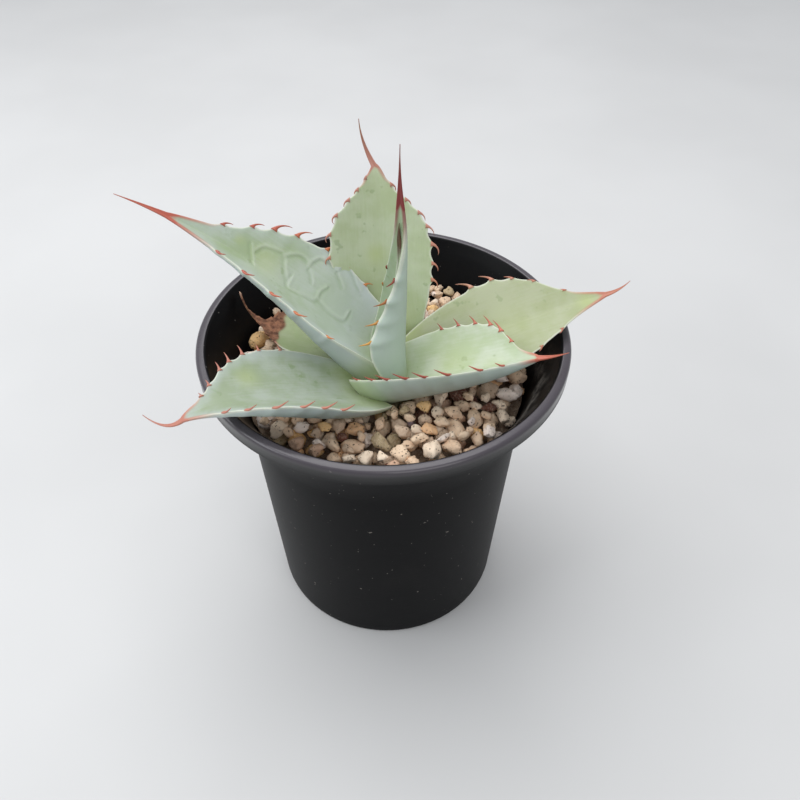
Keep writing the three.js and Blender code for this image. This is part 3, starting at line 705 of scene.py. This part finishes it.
def leaf_mesh(name, form, rows, columns):
    """Points, faces and surface marks of one whole leaf with its spine and teeth."""
    share = np.linspace(0, 1, rows)
    s_row = np.sin(np.linspace(-np.pi / 2, np.pi / 2, columns))
    top, bottom, tops = [], [], []
    for s in s_row:
        point, normal = form.skin(share, s, False)
        top.append(point)
        tops.append(normal)
    for s in s_row[::-1][1:-1]:
        bottom.append(form.skin(share, s, True)[0])
    ring = np.stack(top + bottom, 1)
    s_all = np.concatenate([s_row, s_row[::-1][1:-1]])
    under = np.concatenate([np.zeros(columns), np.ones(columns - 2)])
    width = np.stack([form.half_width(share, 1 if s >= 0 else 0) for s in s_all], 1)
    across = width * s_all[None]
    edge = width * (1 - np.abs(s_all))[None]
    pressed = np.zeros_like(across)
    if name == "leaf_left":
        pressed = print_depth(form, share, across, under < 0.5)
        normals = np.stack(tops + [np.zeros_like(tops[0])] * (columns - 2), 1)
        ring = ring - normals * (PRINT_DEPTH_MM * pressed)[..., None]
    stain = np.zeros_like(across)
    for place, s, radius, strength in STAINS.get(name, []):
        middle = form.across(place, s)
        gap = np.hypot((share[:, None] - place) * form.length, across - middle)
        stain += strength * np.exp(-((gap / radius) ** 2)) * (under < 0.5)
    count = ring.shape[1]
    along = np.repeat(share[:, None], count, 1)
    withered = name == "leaf_withered"
    spine, u = terminal_spine(name, form, ring[-1], 60 if withered else 26)
    points = np.concatenate([ring.reshape(-1, 3), spine.reshape(-1, 3)])
    faces = ring_faces(rows + len(u), count)
    husk = 1.0 if withered else 0.0
    dried = ease(along + 0.018 * np.sin(7 * s_all), 0.9, 0.94) * husk
    # Each mark's values over the blade, then over the spine.
    parts = {
        "along": (along, 1), "across_mm": (across, np.tile(across[-1], len(u))),
        "edge_mm": (edge, INNER_EDGE_MM), "under": (np.tile(under, rows), 0),
        "horn": (ease(along, 0.95, 1.0) * (1 - husk), 1 - husk),
        "shade": (np.zeros_like(along), np.repeat(0.55 * u**2, count)),
        "print": (pressed, 0), "stain": (stain, 0), "dry": (dried, husk),
    }
    marks = {
        key: np.concatenate([blade.ravel(), np.zeros(spine.size // 3) + beyond])
        for key, (blade, beyond) in parts.items()
    }
    for side in (0, 1):
        for place, length in form.leaf["teeth"][side]:
            vary = noise.noise(Vector((place * 37, side * 5 + 0.5, len(name) * 0.7)))
            tooth, steps, sides, way = tooth_mesh(form, side, place, length + TOOTH_ROOT_MM, vary)
            faces += ring_faces(steps, sides, len(points))
            points = np.concatenate([points, tooth])
            n = len(tooth)
            own = {
                "along": np.full(n, place), "edge_mm": np.full(n, INNER_EDGE_MM), "horn": np.ones(n),
                "shade": 0.5 * way**2,
            }
            marks = {key: np.concatenate([marks[key], own.get(key, np.zeros(n))]) for key in marks}
    return points, faces, marks


def print_depth(form, share, across, upper):
    """How far the bud prints push the upper face in or out over the blade, from 1 to -1."""
    flat = np.stack([(share[:, None] * form.length + 0 * across).ravel(), across.ravel()], 1)
    pressed = np.zeros_like(across)
    for line in BUD_PRINTS:
        places = np.array([[t * form.length, form.across(t, s)] for t, s in line])
        gap, side = polyline_distance(flat, places)
        groove = side * (gap / 0.5) * np.exp(0.5 - 0.5 * (gap / 0.5) ** 2)
        pressed = pressed + groove.reshape(across.shape) * upper
    return np.clip(pressed, -1, 1)


def terminal_spine(name, form, last, rows):
    """Rings that carry the last section on along a bent line to a fine tip, and how far along each is."""
    start, tangent = (v[0] for v in bezier(form.line, np.array([1.0])))
    reach = np.linalg.norm(form.spine_end - start)
    u = np.linspace(0, 1, rows + 1)[1:]
    centre, heading = bezier([start, start + tangent * 0.5 * reach, form.spine_end], u)
    last = last - start
    tip = SPINE_TIP_MM / np.linalg.norm(last, axis=1).max()
    spine = []
    for way, middle, ahead in zip(1 - u, centre, heading):
        if name == "leaf_withered":
            taper = husk_taper(way)
        else:
            taper = way ** (1.9 if name == "leaf_heart" else 1.45)
        turn = Vector(tangent).rotation_difference(Vector(ahead)).to_matrix()
        spine.append(turned(last * (tip + (1 - tip) * taper), turn) + middle)
    spine = np.array(spine)
    return (crumple(spine, u, centre) if name == "leaf_withered" else spine), u


def husk_taper(way):
    """Width of the dried end as a share of the leaf's, where way falls from 1 to 0 at its tip."""
    return float((0.15 + 0.5 * way**1.5 + 0.35 * way**9) * ease(np.array(way), -0.02, 0.07))


def crumple(spine, u, centre):
    """Turns the end of the oldest leaf into a thin, dry, curled and wrinkled husk."""
    spine = spine.copy()
    for k in range(len(u)):
        offset = spine[k] - centre[k]
        thin = 1 - 0.15 * ease(np.array(u[k]), 0.0, 0.3)
        roll = Matrix.Rotation(1.5 * float(u[k]) ** 1.3, 3, Vector((-0.7, 0.55, 0.45)))
        offset = turned(offset * thin, roll)
        for i in range(len(offset)):
            spot = Vector(tuple((centre[k] + offset[i]) * 0.33))
            swell = noise.noise(spot) * 1.1 + noise.noise(spot * 2.7) * 0.5
            offset[i] = offset[i] * (1 + 0.42 * swell) + np.array([0, 0, 0.55 * swell])
        spine[k] = centre[k] + offset
    return spine


# ---------- pumice


GRAIN_FLATNESS = 0.8  # height of a grain over its width
DOME_FLATNESS = 0.75  # the same for the round shape that it leaves on the heap
MOST_FACES = 195000  # of the loose grains together
PLACES_TRIED = 14  # for each grain, before it takes the lowest

GRAIN_TINTS = [
    ((0.84, 0.64, 0.46), 10), ((0.74, 0.54, 0.38), 8), ((0.90, 0.74, 0.58), 9), ((0.60, 0.45, 0.33), 4),
    ((0.84, 0.52, 0.29), 4), ((0.92, 0.60, 0.28), 3), ((0.92, 0.80, 0.72), 4), ((0.62, 0.40, 0.28), 3),
    ((0.46, 0.36, 0.22), 3), ((0.15, 0.06, 0.04), 1), ((0.18, 0.13, 0.15), 1), ((0.32, 0.15, 0.10), 1),
]


def ball(levels):
    """Unit directions and triangles of a subdivided icosahedron."""
    grid = bmesh.new()
    bmesh.ops.create_icosphere(grid, subdivisions=levels, radius=1)
    points = np.array([v.co[:] for v in grid.verts])
    faces = np.array([[v.index for v in f.verts] for f in grid.faces])
    grid.free()
    return unit(points), faces


def grain_points(ways, chance, size):
    """A chipped, slightly worn grain: a ball cut by planes with soft edges and roughened."""
    planes = chance.integers(9, 15)
    normals = unit(chance.normal(size=(planes, 3)))
    depth = chance.uniform(0.5, 0.92, planes)
    lean = np.maximum(ways @ normals.T, 0) / depth
    radius = (1 + (lean**24).sum(1)) ** (-1 / 24)
    spot = chance.uniform(0, 90, 3)
    rough = np.array([
        noise.noise(Vector(w * 2.2 + spot)) + 0.6 * noise.noise(Vector(w * 5.5 + spot)) for w in ways
    ])
    points = ways * (radius * (1 + 0.2 * rough))[:, None]
    long, wide, tall = chance.uniform(1.0, 1.35), chance.uniform(0.75, 1.0), chance.uniform(0.9, 1.1)
    stretch = np.array([long, wide, tall * GRAIN_FLATNESS])
    points = points * stretch
    turn = Matrix.Rotation(chance.uniform(0, 2 * np.pi), 3, Vector((0, 0, 1)))
    tip = Matrix.Rotation(chance.normal() * 0.4, 3, Vector((1, 0.3, 0)))
    return turned(points, turn @ tip) * size


def grain_tint(chance):
    weights = np.array([w for _, w in GRAIN_TINTS], float)
    colour = np.array(GRAIN_TINTS[chance.choice(len(GRAIN_TINTS), p=weights / weights.sum())][0])
    return colour * chance.uniform(0.86, 1.1)


class Heap:
    """A height map of the pumice surface, on which grains settle one by one."""

    def __init__(self, radius, level, cell=0.7):
        self.cell = cell
        self.reach = radius + 6
        n = int(2 * self.reach / cell) + 1
        self.level = np.full((n, n), float(level))

    def under(self, x, y, size):
        """The cells below a grain, which of them it covers, and its half height over each."""
        i = int((x - size + self.reach) / self.cell)
        j = int((y - size + self.reach) / self.cell)
        n = int(2 * size / self.cell) + 2
        xs = (np.arange(i, i + n) * self.cell) - self.reach - x
        ys = (np.arange(j, j + n) * self.cell) - self.reach - y
        left = size**2 - (xs[:, None] ** 2 + ys[None] ** 2)
        return (slice(i, i + n), slice(j, j + n)), left > 0, np.sqrt(np.maximum(left, 0)) * DOME_FLATNESS

    def rest(self, x, y, size):
        """Height of a grain's middle where it touches what lies under it."""
        cells, covered, dome = self.under(x, y, size)
        return float(np.where(covered, self.level[cells] + dome, -1e9).max())

    def settle(self, x, y, z, size):
        cells, covered, dome = self.under(x, y, size)
        level = self.level[cells]
        self.level[cells] = np.where(covered, np.maximum(level, z + dome), level)


def wall_radius(z):
    """Inner radius of the pot at a height, in millimetres."""
    return pot_inside(np.array([z]))[0]


# ---------- pot


# Sizes of the pot in millimetres, the same as in the frame.
NECK_RADIUS, BASE_RADIUS, WALL, FLOOR = 47.0, 42.5, 1.2, 1.6
FLARE_HEIGHT, RIM_WIDTH, SKIRT_HEIGHT, SKIRT_WALL = 31.0, 3.2, 5.5, 1.3
DRAIN_COUNT, DRAIN_RADIUS, DRAIN_RING = 8, 4.0, 28.0


def pot_inside(z):
    neck = POT_HEIGHT - FLARE_HEIGHT
    mouth = RIM_RADIUS - RIM_WIDTH
    taper = BASE_RADIUS + (NECK_RADIUS - BASE_RADIUS) * z / neck - WALL
    rise = np.clip((z - neck) / FLARE_HEIGHT, 0, 1)
    return np.where(z <= neck, taper, NECK_RADIUS - WALL + (mouth - NECK_RADIUS + WALL) * rise**1.75)


def rounded(corner, start, end, size, steps=5):
    """A soft bend that replaces the corner between two points of an outline."""
    corner, start, end = (np.array(p, float) for p in (corner, start, end))
    a = corner + unit(start - corner) * size
    b = corner + unit(end - corner) * size
    return [tuple(p) for p in bezier([a, corner, b], np.linspace(0, 1, steps))[0]]


def pot_outline():
    """The wall's section as a closed line from the axis, under the floor, up outside and down inside."""
    top, mouth = POT_HEIGHT, RIM_RADIUS - RIM_WIDTH
    neck = top - FLARE_HEIGHT
    outside_z = np.concatenate([np.linspace(4, neck, 14), np.linspace(neck, top - 5.2, 16)[1:]])
    outside = [(wall_radius(z) + WALL, z) for z in outside_z]
    inside_z = np.concatenate([np.linspace(top - 3.2, neck, 22), np.linspace(neck, FLOOR + 3, 12)[1:]])
    inside = [(wall_radius(z), z) for z in inside_z]
    skirt = RIM_RADIUS - SKIRT_WALL
    line = [(0.0, 0.0), (12.0, 0.0), (24.0, 0.0), (34.0, 0.0)]
    line += rounded((BASE_RADIUS, 0), (0, 0), outside[0], 1.5)
    line += outside
    line += [(mouth - 0.5, top - 4)]
    line += rounded((skirt - 0.2, top - 2.6), (mouth - 0.5, top - 4), (skirt, top - 5), 0.6, 4)
    line += rounded((skirt, top - SKIRT_HEIGHT), (skirt, top - 3), (RIM_RADIUS, top - SKIRT_HEIGHT), 0.3, 3)
    line += rounded(
        (RIM_RADIUS - 0.15, top - SKIRT_HEIGHT), (skirt, top - SKIRT_HEIGHT), (RIM_RADIUS, top - 2), 0.3, 3)
    line += rounded((RIM_RADIUS, top), (RIM_RADIUS, top - SKIRT_HEIGHT), (mouth, top), 1.5, 8)
    line += rounded((mouth + 0.1, top), (RIM_RADIUS, top), (mouth - 1.2, top - 3.2), 0.9, 6)
    line += inside
    line += rounded((BASE_RADIUS - WALL, FLOOR), inside[-1], (0, FLOOR), 1.2)
    line += [(34.0, FLOOR), (24.0, FLOOR), (12.0, FLOOR), (0.0, FLOOR)]
    return line


def lathe(outline, sides):
    """A turned solid from an outline that starts and ends on the axis."""
    middle = np.array(outline[1:-1])
    turn = np.linspace(0, 2 * np.pi, sides, endpoint=False)
    points = [(r * math.cos(a), r * math.sin(a), z) for a in turn for r, z in middle]
    n = len(middle)
    low, high = len(points), len(points) + 1
    points += [(0, 0, outline[0][1]), (0, 0, outline[-1][1])]
    faces = []
    for k in range(sides):
        a, b = k * n, ((k + 1) % sides) * n
        faces.append((low, b, a))
        faces += [(a + i, b + i, b + i + 1, a + i + 1) for i in range(n - 1)]
        faces.append((high, a + n - 1, b + n - 1))
    return points, faces


# ---------- settings a user would change


def colour_setting(name, description, default):
    return bpy.props.FloatVectorProperty(
        name=name, description=description, subtype="COLOR", default=default, size=3)


class AgaveLeafSettings(bpy.types.PropertyGroup):
    rows: bpy.props.IntProperty(
        name="Rows", description="Sections along a blade", default=170, min=40)
    columns: bpy.props.IntProperty(
        name="Columns", description="Points across one face of a blade", default=45, min=15)
    scallop: bpy.props.FloatProperty(
        name="Margin swelling", description="Swelling of the margin under a tooth, in millimetres",
        default=0.9, min=0)
    under_colour: colour_setting("Underside", "Bluish bloom of the underside", (0.45, 0.54, 0.50))
    crown_colour: colour_setting("Leaf base", "Yellowish green near the crown", (0.42, 0.50, 0.18))
    margin_colour: colour_setting("Margin", "Pale line along the margin", (0.66, 0.68, 0.58))


class AgavePumiceSettings(bpy.types.PropertyGroup):
    grains: bpy.props.IntProperty(
        name="Grains", description="Loose grains tried besides the larger stones", default=1900, min=0)
    smallest: bpy.props.FloatProperty(
        name="Smallest grain", description="Half width of the smallest grain, in millimetres",
        default=1.6, min=0.3)
    largest: bpy.props.FloatProperty(
        name="Largest grain", description="Half width of the largest grain, in millimetres",
        default=4.5, min=0.5)
    level: bpy.props.FloatProperty(
        name="Top dressing", description="Height of the grains over the bed, in millimetres",
        default=9.0, min=2)
    seed: bpy.props.IntProperty(name="Seed", description="Which heap of grains", default=11)


class AgavePotSettings(bpy.types.PropertyGroup):
    sides: bpy.props.IntProperty(
        name="Sides", description="Faces round the pot", default=180, min=24)
    dust: bpy.props.FloatProperty(
        name="Dust", description="How dusty the plastic is", default=0.7, min=0, max=2)
    plastic_colour: colour_setting("Plastic", "Colour of the plastic", (0.004, 0.004, 0.0045))
    # The lip colour is a painted highlight along the top of the rim, not worn plastic.
    lip_highlight_colour: colour_setting("Lip", "Worn, greyer plastic along the top of the rim", (0.058, 0.050, 0.060))
    dust_colour: colour_setting("Dust colour", "Colour of the dust", (0.36, 0.33, 0.30))


class AgaveStageSettings(bpy.types.PropertyGroup):
    floor_colour: colour_setting("Floor", "Colour of the floor", (0.62, 0.62, 0.62))
    sky: bpy.props.FloatProperty(
        name="Room light", description="Strength of the even room light", default=0.56, min=0)
    lamp: bpy.props.FloatProperty(
        name="Main lamp", description="Power of the main soft box", subtype="POWER", unit="POWER",
        default=6.6, min=0)


SETTINGS = {
    "agave_leaves": AgaveLeafSettings,
    "agave_pumice": AgavePumiceSettings,
    "agave_pot": AgavePotSettings,
    "agave_stage": AgaveStageSettings,
}


# ---------- operators


class AGAVE_OT_pot(bpy.types.Operator):
    """Build the pot with its rolled rim and drain holes"""

    bl_idname = "agave.pot"
    bl_label = "Pot"

    def execute(self, context):
        settings = context.scene.agave_pot
        points, faces = lathe(pot_outline(), settings.sides)
        piece = put_piece("nursery_pot", points, faces, pot_finish(settings), ["pot"])
        cutters = bmesh.new()
        for k in range(DRAIN_COUNT):
            angle = 2 * math.pi * (k + 0.5) / DRAIN_COUNT
            place = Vector((math.cos(angle), math.sin(angle), 0)) * DRAIN_RING * MM
            bmesh.ops.create_cone(
                cutters, cap_ends=True, segments=32, radius1=DRAIN_RADIUS * MM, radius2=DRAIN_RADIUS * MM,
                depth=4 * FLOOR * MM, matrix=Matrix.Translation(place))
        mesh = bpy.data.meshes.new("drain_cutter")
        cutters.to_mesh(mesh)
        cutters.free()
        cutter = link("drain_cutter", mesh)
        cut = piece.modifiers.new("drains", "BOOLEAN")
        cut.operation, cut.solver, cut.object = "DIFFERENCE", "EXACT", cutter
        shaped = bpy.data.meshes.new_from_object(piece.evaluated_get(context.evaluated_depsgraph_get()))
        piece.modifiers.clear()
        piece.data = shaped
        bpy.data.objects.remove(cutter)
        shaped.polygons.foreach_set("use_smooth", [True] * len(shaped.polygons))
        shaped.set_sharp_from_angle(angle=math.radians(50))
        places = np.array([v.co[:] for v in shaped.vertices]) / MM
        radius = np.hypot(places[:, 0], places[:, 1])
        inner = (radius < pot_inside(places[:, 2]) + 0.4 * WALL).astype(float)
        azimuth = np.degrees(np.arctan2(places[:, 1], places[:, 0]))
        front_right = np.exp(-(((azimuth + 30) / 34) ** 2))
        band = np.exp(-(((places[:, 2] - BED_TOP - 10) / 4.5) ** 2))
        put_marks(shaped, {"inside": inner, "crescent": inner * front_right * band})
        return {"FINISHED"}


class AGAVE_OT_stem(bpy.types.Operator):
    """Finish the short stem that the leaves spring from"""

    bl_idname = "agave.stem"
    bl_label = "Stem"

    def execute(self, context):
        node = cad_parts["stem"]
        node.data.materials.clear()
        node.data.materials.append(stem_finish())
        return {"FINISHED"}


class AGAVE_OT_leaves(bpy.types.Operator):
    """Build every leaf with its margin teeth and terminal spine"""

    bl_idname = "agave.leaves"
    bl_label = "Leaves"

    def execute(self, context):
        settings = context.scene.agave_leaves
        for name, leaf in LEAVES.items():
            form = LeafForm(leaf, settings.scallop)
            marked = name == "leaf_left"
            rows = int(settings.rows * (1.5 if marked else 1))
            columns = 2 * settings.columns + 1 if marked else settings.columns
            points, faces, marks = leaf_mesh(name, form, rows, columns)
            finish = leaf_finish(name, settings)
            put_piece(f"{name}_blade", points, faces, finish, [name], marks)
        return {"FINISHED"}


class AGAVE_OT_pumice(bpy.types.Operator):
    """Build the larger stones, the loose grains between them and the bed below"""

    bl_idname = "agave.pumice"
    bl_label = "Pumice"

    def execute(self, context):
        settings = context.scene.agave_pumice
        finish = pumice_finish("pumice")
        chance = np.random.default_rng(settings.seed)
        heap = Heap(wall_radius(BED_TOP), BED_TOP - 0.6)
        leaves = leaf_tree()
        fine_ways, fine_faces = ball(4)
        for name in STONES:
            low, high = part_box(name)
            middle = np.array((low + high) / 2) / MM
            half = np.array((high - low) / 2) / MM
            size = float(half[:2].mean())
            points = grain_points(fine_ways, chance, 1.0)
            points *= half / np.abs(points).max(0)
            tint = np.tile([*grain_tint(chance), 1], (len(points), 1))
            faces = fine_faces.tolist()
            put_piece(f"{name}_grain", points + middle, faces, finish, [name], None, tint)
            heap.settle(middle[0], middle[1], middle[2], size)
        self.loose(settings, chance, heap, leaves, finish)
        self.bed(finish)
        return {"FINISHED"}

    def loose(self, settings, chance, heap, leaves, finish):
        """Loose grains, each settled at the lowest of a few places that clear the leaves."""
        ways, triangles = ball(3)
        points, faces, tints = [], [], []
        count = 0
        for step in range(settings.grains):
            if (count + 1) * len(triangles) > MOST_FACES:
                break
            room = (settings.largest - settings.smallest) * (1 - 0.75 * step / settings.grains)
            size = settings.smallest + room * chance.beta(1.8, 1.6)
            best = None
            for _ in range(PLACES_TRIED):
                r = math.sqrt(chance.uniform(0, 1)) * (wall_radius(BED_TOP + 3) - size - 0.3)
                a = chance.uniform(0, 2 * np.pi)
                x, y = r * math.cos(a), r * math.sin(a)
                z = heap.rest(x, y, size * 0.92)
                if best is None or z < best[2]:
                    best = (x, y, z)
            x, y, z = best
            if z + 0.7 * size > BED_TOP + settings.level:
                continue
            near = leaves.find_nearest(Vector((x, y, z)) * MM)
            if near[0] is not None and near[3] < (size * 0.8) * MM:
                continue
            heap.settle(x, y, z, size * 0.92)
            shape = grain_points(ways, chance, size) + np.array([x, y, z])
            over = (np.hypot(shape[:, 0], shape[:, 1]) - pot_inside(shape[:, 2]) + 0.15).max()
            shape[:, :2] -= np.array([x, y]) / math.hypot(x, y) * max(over, 0)
            points.append(shape)
            faces += (triangles + count * len(ways)).tolist()
            tints.append(np.tile([*grain_tint(chance), 1], (len(ways), 1)))
            count += 1
        points, tints = np.concatenate(points), np.concatenate(tints)
        put_piece("loose_pumice", points, faces, finish, (), None, tints)

    def bed(self, finish):
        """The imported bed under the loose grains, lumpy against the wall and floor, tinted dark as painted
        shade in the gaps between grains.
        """
        foot = FLOOR + 0.35
        heights = np.linspace(foot, BED_TOP - 0.3, 60)
        line = [(0.0, foot)] + [(r, foot) for r in np.linspace(3, 38, 14)]
        line += [(wall_radius(z) - 0.35, z) for z in heights[1:]]
        line += [(r, BED_TOP - 0.3) for r in np.linspace(45, 3, 15)] + [(0.0, BED_TOP - 0.3)]
        points, faces = lathe(line, 150)
        points = np.array(points)
        for i, p in enumerate(points):
            dent = 0.5 + 0.5 * noise.noise(Vector(p * 0.42)) + 0.25 * noise.noise(Vector(p * 1.1))
            middle = np.array([0, 0, np.clip(p[2], foot + 6, BED_TOP - 6)])
            points[i] = p + unit(middle - p) * 0.9 * max(dent, 0)
        # The dark brown tint is painted shade: the bed shows only in the gaps between grains, as their
        # shadow.
        tint = np.tile([0.24, 0.17, 0.12, 1], (len(points), 1))
        put_piece("packed_pumice", points, faces, finish, ["pumice_bed"], None, tint)


def leaf_tree():
    """A search tree over every leaf piece, so that grains keep clear of them."""
    points, faces = [], []
    for name in LEAVES:
        mesh = bpy.data.objects[f"{name}_blade"].data
        first = len(points)
        points += [v.co.copy() for v in mesh.vertices]
        faces += [tuple(first + i for i in p.vertices) for p in mesh.polygons if len(p.vertices) < 5]
    return BVHTree.FromPolygons(points, faces)


CAMERA_PLACE = (0.0052, -0.1994, 0.2801)
CAMERA_PITCH = 44.6  # degrees that it looks down from level
CAMERA_LENS, CAMERA_SENSOR = 36.0, 36.0
FLOOR_HALF_WIDTH, FLOOR_LEVEL = 3.0, -0.0002


class AGAVE_OT_stage(bpy.types.Operator):
    """Lay the floor, hang the soft boxes and set the camera"""

    bl_idname = "agave.stage"
    bl_label = "Stage"

    def execute(self, context):
        settings = context.scene.agave_stage
        mesh = bpy.data.meshes.new("floor")
        half, depth = FLOOR_HALF_WIDTH, FLOOR_LEVEL
        mesh.from_pydata(
            [(-half, -half, depth), (half, -half, depth), (half, half, depth), (-half, half, depth)],
            [], [(0, 1, 2, 3)])
        mesh.materials.append(floor_finish(settings))
        floor = link("floor", mesh)
        self.light("overhead_box", (-0.15, 0.25, 0.9), 0.9, settings.lamp, (1.0, 1.0, 1.0))
        self.light("left_box", (-0.8, -0.2, 0.6), 0.6, settings.lamp * 0.45, (0.95, 0.98, 1.0))
        self.light("front_box", (0.35, -0.8, 0.7), 0.7, settings.lamp * 0.4, (1.0, 0.99, 0.97))
        world = bpy.data.worlds.new("room")
        world.use_nodes = True
        background = world.node_tree.nodes["Background"]
        background.inputs["Color"].default_value = (0.93, 0.96, 1.0, 1)
        background.inputs["Strength"].default_value = settings.sky
        context.scene.world = world
        context.scene.view_settings.view_transform = "Standard"
        lens = bpy.data.cameras.new("camera")
        lens.lens, lens.sensor_width = CAMERA_LENS, CAMERA_SENSOR
        lens.clip_start, lens.clip_end = 0.01, 20
        camera = link("camera", lens)
        camera.location = CAMERA_PLACE
        camera.rotation_euler = (math.radians(90 - CAMERA_PITCH), 0, 0)
        context.scene.camera = camera
        return {"FINISHED"}

    def light(self, name, place, size, power, colour):
        """A square soft box that looks at the middle of the rosette."""
        lamp = bpy.data.lights.new(name, "AREA")
        lamp.shape, lamp.size, lamp.energy, lamp.color = "SQUARE", size, power, colour
        holder = link(name, lamp)
        holder.location = place
        aim = Vector((0, 0, POT_HEIGHT * MM)) - Vector(place)
        holder.rotation_euler = aim.to_track_quat("-Z", "Y").to_euler()


class AGAVE_PT_builder(bpy.types.Panel):
    """Lists the pieces of the plant in the order they are built"""

    bl_idname = "AGAVE_PT_builder"
    bl_label = "Potted agave"
    bl_space_type = "VIEW_3D"
    bl_region_type = "UI"
    bl_category = "Agave"

    def draw(self, context):
        for key, group in SETTINGS.items():
            box = self.layout.box()
            for field in group.__annotations__:
                box.prop(getattr(context.scene, key), field)
        for operator in OPERATORS:
            self.layout.operator(operator.bl_idname)


OPERATORS = (AGAVE_OT_stage, AGAVE_OT_pot, AGAVE_OT_stem, AGAVE_OT_leaves, AGAVE_OT_pumice)


def register():
    for group in (*SETTINGS.values(), *OPERATORS, AGAVE_PT_builder):
        bpy.utils.register_class(group)
    for key, group in SETTINGS.items():
        setattr(bpy.types.Scene, key, bpy.props.PointerProperty(type=group))


def unregister():
    for key in SETTINGS:
        delattr(bpy.types.Scene, key)
    for group in reversed((*SETTINGS.values(), *OPERATORS, AGAVE_PT_builder)):
        bpy.utils.unregister_class(group)


def main():
    register()
    bpy.ops.agave.stage()
    bpy.ops.agave.pot()
    bpy.ops.agave.stem()
    bpy.ops.agave.leaves()
    bpy.ops.agave.pumice()


if __name__ == "__main__":
    main()
